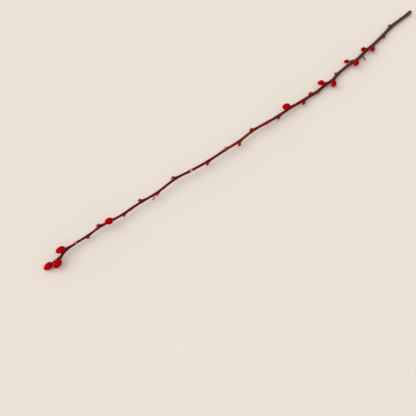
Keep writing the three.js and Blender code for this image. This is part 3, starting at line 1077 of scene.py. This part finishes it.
class TWIG_OT_catkins(bpy.types.Operator):
    """Makes the open catkins with their fur"""

    bl_idname = "twig.catkins"
    bl_label = "Catkins"

    def execute(self, context):
        for number, place, size, _ in furry_nodes("catkin", context.scene.twig_sizes):
            make_catkin(f"Catkin_{number:02d}", place, size, CATKIN_SEED + number)
        return {"FINISHED"}


class TWIG_OT_opening_buds(bpy.types.Operator):
    """Makes the small catkins that only just show from their buds"""

    bl_idname = "twig.opening_buds"
    bl_label = "Opening Buds"

    def execute(self, context):
        for number, place, size, reach in furry_nodes("opening_bud", context.scene.twig_sizes):
            make_catkin(f"Opening_Bud_{number:02d}", place, size, OPENING_BUD_SEED + number, reach)
        return {"FINISHED"}


# --- Bud scales and closed buds ---------------------------------------------------------------


# How far the inner side of a scale is from its catkin's outline.
SCALE_CLEARANCE = 0.06


def scale_skin(size, reach, sizes, seed):
    """A thin cap round a catkin's base: ribbed, ragged at its rim and pointed on its outer side."""
    sides, outer_rows, inner_rows = 44, 18, 10
    turn = around(sides)
    wrapped = (turn + np.pi) % (2 * np.pi) - np.pi
    rim = scale_rim(reach, turn)
    rim = rim * (1 + 0.14 * bump(wrapped / 0.42) - 0.05 * bump((wrapped - 0.9) / 0.2))
    rim = rim * (1 + 0.03 * np.sin(3 * turn + seed) + 0.025 * np.sin(7 * turn + 2 * seed))
    length = sizes.catkin_length / MM * size
    width = sizes.catkin_width / MM * size
    thickness = sizes.scale_thickness / MM
    rise = np.concatenate([np.linspace(0.001, 1, outer_rows), np.linspace(1, 0.001, inner_rows)])
    outer = np.arange(len(rise)) < outer_rows
    angle = rim[None, :] * rise[:, None]
    thinning = 1 - 0.6 * rise**2
    offset = SCALE_CLEARANCE + np.where(outer, thickness * thinning, 0)[:, None]
    radius, height = egg(angle, length, width, offset)
    ribs = 0.035 * np.cos(11 * turn + 0.7 * np.sin(2 * turn + seed))[None, :]
    flare = 0.25 * step_up((rise[:, None] - 0.75) / 0.25) * bump(wrapped / 1.2)[None, :]
    radius = radius + np.where(outer, 1.0, 0.3)[:, None] * ribs * np.sin(np.pi * rise)[:, None] + flare
    # A short neck joins the cap to its cushion.
    neck = np.where(outer[:, None], 0.95 * bump(radius / 0.9), 0.0)
    grid = round_points(radius, height - neck, turn[None, :], catkin_flatness(size))
    marks = np.where(outer[:, None], -0.1, 0.35) + 0.25 * step_up((rise[:, None] - 0.6) / 0.4)
    marks = np.broadcast_to(marks, grid.shape[:2])
    points, faces = closed_skin(grid)
    return points, faces, skin_marks(marks)


class TWIG_OT_scales(bpy.types.Operator):
    """Makes the cap-like bud scales round the bases of the catkins and the opening buds"""

    bl_idname = "twig.scales"
    bl_label = "Bud Scales"

    def execute(self, context):
        sizes = context.scene.twig_sizes
        for kind, label in (("catkin", "Catkin_Scale"), ("opening_bud", "Opening_Bud_Scale")):
            for number, place, size, reach in furry_nodes(kind, sizes):
                points, faces, blush = scale_skin(size, reach, sizes, number)
                name = f"{label}_{number:02d}"
                marks = {"blush": blush}
                piece = make_piece(name, place.put(points), faces, [material_for("scale")], marks)
                stand_for(piece)
        return {"FINISHED"}


# A closed bud is this much fuller than the frame's faceted one on its outer side.
BUD_FULLNESS = 1.35
# This brings the greatest value of a closed bud's outline to 1.
BUD_OUTLINE = 2.38


def closed_bud_skin(node, sizes, seed):
    """A closed bud: one leathery cap with a keel down each side, a seam and a beak towards the stem."""
    size = node["size"]
    length = sizes.bud_length / MM * size
    width = sizes.bud_width / MM * size
    share = np.linspace(0, 1, 40)[:, None]
    rise = share**1.5
    turn = around(36)[None, :]
    wrapped = (turn + np.pi) % (2 * np.pi) - np.pi
    fullness = 1 + (BUD_FULLNESS - 1) * step_up((np.cos(turn) + 1) / 1.4)
    radius = fullness * width * BUD_OUTLINE * np.sqrt(rise) * (1 - rise) ** 0.8 / 2
    keels = 0.09 * bump((np.abs(wrapped) - 1.4) / 0.2) * np.sin(np.pi * rise) ** 0.5
    seam = -0.1 * bump((np.pi - np.abs(wrapped)) / 0.13) * step_up(rise / 0.3)
    collar = 0.14 * bump((rise - 0.07) / 0.03)
    ribs = 0.015 * np.cos(13 * turn + seed)
    radius = radius * (1 + keels + seam + collar + ribs * np.sin(np.pi * rise))
    neck = 0.55 * bump(radius / 0.75) * (rise < 0.2)
    grid = round_points(radius, length * rise - neck, turn)
    grid[..., 2] -= size * (1.15 * rise**2 + 0.15 * step_up((rise - 0.8) / 0.2) ** 2)
    wrinkle = lumps(grid * [1, 0.4, 1], 0.5, seed)
    grid *= 1 + 0.025 * wrinkle[..., None] * [1, 0, 1]
    points, faces = closed_skin(grid)
    blush = 0.05 + node["blush"] * step_up((rise - 0.15) / 0.6) * np.ones_like(turn)
    return points, faces, skin_marks(blush)


class TWIG_OT_closed_buds(bpy.types.Operator):
    """Makes the closed buds that lie against the stem"""

    bl_idname = "twig.closed_buds"
    bl_label = "Closed Buds"

    def execute(self, context):
        sizes = context.scene.twig_sizes
        for number, node, place in seated_nodes("closed_bud", sizes):
            points, faces, blush = closed_bud_skin(node, sizes, number)
            name, marks = f"Closed_Bud_{number:02d}", {"blush": blush}
            piece = make_piece(name, place.put(points), faces, [material_for("scale")], marks)
            stand_for(piece)
        return {"FINISHED"}


# --- Scars and the peeled strip ---------------------------------------------------------------


def scar_skin(node, sizes, seed):
    """Torn wood where a bud broke off: a low knob with ragged ridges and a pit in the middle."""
    height = sizes.scar_height / MM * node["size"]
    width = sizes.scar_width / MM * node["size"]
    angle = np.linspace(0.001, np.pi - 0.001, 34)[:, None]
    turn = around(40)[None, :]
    radius, level = egg(angle, height, width)
    upper = step_up((angle - 1.2) / 1.2)
    pit = 0.4 * bump(radius / (0.22 * width)) * upper
    ridges = 0.12 * upper * np.cos(5 * turn + seed + np.sin(2 * turn)) * np.sin(angle)
    grid = round_points(radius, level - pit + ridges, turn)
    torn = 0.16 * lumps(grid, 0.75, seed) + 0.07 * lumps(grid, 0.3, seed + 5)
    normal = unit(grid - [0, height / 2, 0])
    grid = grid + normal * torn[..., None]
    points, faces = closed_skin(grid)
    return points, faces


class TWIG_OT_scars(bpy.types.Operator):
    """Makes the scars where buds and catkins have broken off"""

    bl_idname = "twig.scars"
    bl_label = "Bud Scars"

    def execute(self, context):
        sizes = context.scene.twig_sizes
        for number, node, place in seated_nodes("bud_scar", sizes):
            points, faces = scar_skin(node, sizes, SCAR_SEED + number)
            name, marks = f"Bud_Scar_{number:02d}", {"fade": np.full(len(points), node["fade"])}
            piece = make_piece(name, place.put(points), faces, [material_for("scar")], marks)
            stand_for(piece)
        return {"FINISHED"}


# The strip faces further round the stem than its scar does by this many degrees.
FLAKE_TWIST = 55
# It is rooted this far past the scar's place, and leans away from the stem by this many degrees.
FLAKE_AHEAD = 3.2
FLAKE_LEAN = 20


def flake_skin(sizes):
    """The peeled strip: a thin tongue of bark that curls up from the stem, torn at its free end."""
    length = sizes.flake_length / MM
    width = sizes.flake_width / MM
    thickness = sizes.flake_thickness / MM
    rows, columns = 34, 11
    reach = np.linspace(0, 1, rows)[:, None]
    across = np.linspace(-1, 1, columns)[None, :]
    torn = 0.05 * np.sin(5 * across + 1) + 0.03 * np.sin(11 * across)
    narrowing = (1 - 0.55 * reach) * (1 - 0.75 * step_up((reach - 0.8) / 0.2))
    # Its root is a narrow neck at the edge that is next to the stem.
    neck = 0.65 * (1 - step_up(reach / 0.35))
    x = (across * narrowing * (1 - neck) + neck) * width / 2 + 0.5 * reach
    y = length * reach * (1 + torn * reach) - 0.7 * (1 - reach) ** 3 + 0 * across
    curl = 1.1 * reach**2 + 0.3 * across**2 * step_up(reach / 0.5) - 0.75 * (1 - reach) ** 4
    ripple = 0.06 * np.sin(9 * reach + 2 * across)
    middle = np.stack([x, y, curl + ripple], axis=-1)
    half = thickness / 2 * (1 - 0.5 * reach) * np.ones_like(across)
    above = middle + np.stack([0 * x, 0 * x, half], axis=-1)
    below = middle - np.stack([0 * x, 0 * x, half], axis=-1)
    # Each ring goes over the strip's upper side and back under it.
    grid = np.concatenate([above, below[:, ::-1]], axis=1)
    closed = np.concatenate([grid[:1], grid, grid[-1:]])
    points, faces = closed_skin(closed)
    sides = 2 * columns
    inside = [0 if columns <= index % sides < sides - 1 else 1 for index in range(len(faces))]
    return points, faces, inside


class TWIG_OT_flake(bpy.types.Operator):
    """Makes the strip of bark that has peeled off beside one of the scars"""

    bl_idname = "twig.flake"
    bl_label = "Peeled Bark"

    def execute(self, context):
        sizes = context.scene.twig_sizes
        node = next(node for node in NODES if node.get("flake"))
        along = node["along"] + FLAKE_AHEAD
        point, tangent = AXIS.at([along / STEM_LENGTH])
        out = outward(tangent, np.array([node["turn"]]))[0]
        lean = math.radians(FLAKE_LEAN)
        growth = tangent[0] * math.cos(lean) + out * math.sin(lean)
        edge_drop = sizes.flake_width / MM / 2 * math.sin(math.radians(FLAKE_TWIST))
        reach = stem_radius(along, sizes) + NODE_SWELLING + FRAME_FLAKE + edge_drop
        facing = outward(tangent, np.array([node["turn"] + FLAKE_TWIST]))[0]
        place = Place(point[0] + out * reach, growth, facing)
        points, faces, inside = flake_skin(sizes)
        materials = [material_for("scale"), material_for("inner_bark")]
        marks = {"blush": np.full(len(points), 0.15)}
        piece = make_piece("Peeled_Bark_Flake", place.put(points), faces, materials, marks, inside)
        stand_for(piece)
        return {"FINISHED"}


# --- Stage ------------------------------------------------------------------------------------

# The camera looks down at the twig from beside its tip. Its target is on the surface.
CAMERA_AZIMUTH, CAMERA_ELEVATION = 139.85, 62.0
CAMERA_DISTANCE = 758.2
CAMERA_TARGET = (475.2, 62.0, 0.0)
LENS, SENSOR = 50.0, 36.0
# The key light shines from the camera's left and from above: its parts to the left, away and up.
KEY_FROM = (1.4, 0.1, 0.95)
KEY_STRENGTH, KEY_SOFTNESS = 1.4, 68
KEY_COLOUR = (1.0, 0.985, 0.955)
ROOM_STRENGTH = 0.72
ROOM_COLOUR = (1.0, 0.955, 0.895, 1.0)


def towards(azimuth, elevation):
    a, e = math.radians(azimuth), math.radians(elevation)
    return Vector((math.sin(a) * math.cos(e), -math.cos(a) * math.cos(e), math.sin(e)))


def add_soft_sun(direction, strength, softness, colour):
    """A light from a direction that is even all over the floor, and as soft as its width is in degrees."""
    lamp = bpy.data.lights.new("Key_Light", "SUN")
    lamp.energy = strength
    lamp.angle = math.radians(softness)
    lamp.color = colour
    light = bpy.data.objects.new("Key_Light", lamp)
    bpy.context.scene.collection.objects.link(light)
    light.rotation_euler = (-direction).to_track_quat("-Z", "Y").to_euler()


class TWIG_OT_stage(bpy.types.Operator):
    """Makes the plain floor, the soft studio light and the camera"""

    bl_idname = "twig.stage"
    bl_label = "Stage"

    def execute(self, context):
        scene = context.scene
        sizes = scene.twig_sizes
        half = sizes.floor_side / 2
        mesh = bpy.data.meshes.new("Floor")
        corners = [(-half, -half, 0), (half, -half, 0), (half, half, 0), (-half, half, 0)]
        mesh.from_pydata(corners, [], [(0, 1, 2, 3)])
        mesh.materials.append(material_for("floor"))
        floor = bpy.data.objects.new("Floor", mesh)
        scene.collection.objects.link(floor)

        target = Vector(CAMERA_TARGET) + Vector(frame_offset(sizes))
        target = target * MM
        target.z = 0.0
        back = towards(CAMERA_AZIMUTH, CAMERA_ELEVATION)
        camera = bpy.data.cameras.new("Camera")
        camera.lens = LENS
        camera.sensor_width = SENSOR
        eye = bpy.data.objects.new("Camera", camera)
        scene.collection.objects.link(eye)
        eye.location = target + back * CAMERA_DISTANCE * MM
        eye.rotation_euler = (-back).to_track_quat("-Z", "Y").to_euler()
        scene.camera = eye

        away = Vector((-back.x, -back.y, 0)).normalized()
        leftward = Vector((-away.y, away.x, 0))
        from_left, from_behind, from_above = KEY_FROM
        key = leftward * from_left + away * from_behind + Vector((0, 0, from_above))
        add_soft_sun(key.normalized(), KEY_STRENGTH, KEY_SOFTNESS, KEY_COLOUR)
        world = bpy.data.worlds.new("Soft_Room")
        world.use_nodes = True
        background = world.node_tree.nodes["Background"]
        background.inputs["Color"].default_value = ROOM_COLOUR
        background.inputs["Strength"].default_value = ROOM_STRENGTH
        scene.world = world
        scene.view_settings.view_transform = "Standard"
        return {"FINISHED"}


# --- Add-on -----------------------------------------------------------------------------------


class TWIG_PT_pieces(bpy.types.Panel):
    """Lists the twig's sizes, its colours and the operators that make its pieces"""

    bl_idname = "TWIG_PT_pieces"
    bl_label = "Willow Twig"
    bl_space_type = "VIEW_3D"
    bl_region_type = "UI"
    bl_category = "Willow Twig"

    def draw(self, context):
        for operator in OPERATORS:
            self.layout.operator(operator.bl_idname)
        for group in (context.scene.twig_sizes, context.scene.twig_colours):
            for name in type(group).__annotations__:
                self.layout.prop(group, name)


OPERATORS = (
    TWIG_OT_stem,
    TWIG_OT_catkins,
    TWIG_OT_opening_buds,
    TWIG_OT_scales,
    TWIG_OT_closed_buds,
    TWIG_OT_scars,
    TWIG_OT_flake,
    TWIG_OT_stage,
)
CLASSES = (TwigSizes, TwigColours, *OPERATORS, TWIG_PT_pieces)


def register():
    """Adds the classes and the two groups of properties."""
    for cls in CLASSES:
        bpy.utils.register_class(cls)
    bpy.types.Scene.twig_sizes = PointerProperty(type=TwigSizes)
    bpy.types.Scene.twig_colours = PointerProperty(type=TwigColours)


def unregister():
    """Takes away what register added."""
    del bpy.types.Scene.twig_colours
    del bpy.types.Scene.twig_sizes
    for cls in reversed(CLASSES):
        bpy.utils.unregister_class(cls)


def main():
    """Makes every piece and the stage."""
    register()
    bpy.ops.twig.stem()
    bpy.ops.twig.catkins()
    bpy.ops.twig.opening_buds()
    bpy.ops.twig.scales()
    bpy.ops.twig.closed_buds()
    bpy.ops.twig.scars()
    bpy.ops.twig.flake()
    bpy.ops.twig.stage()


if __name__ == "__main__":
    main()
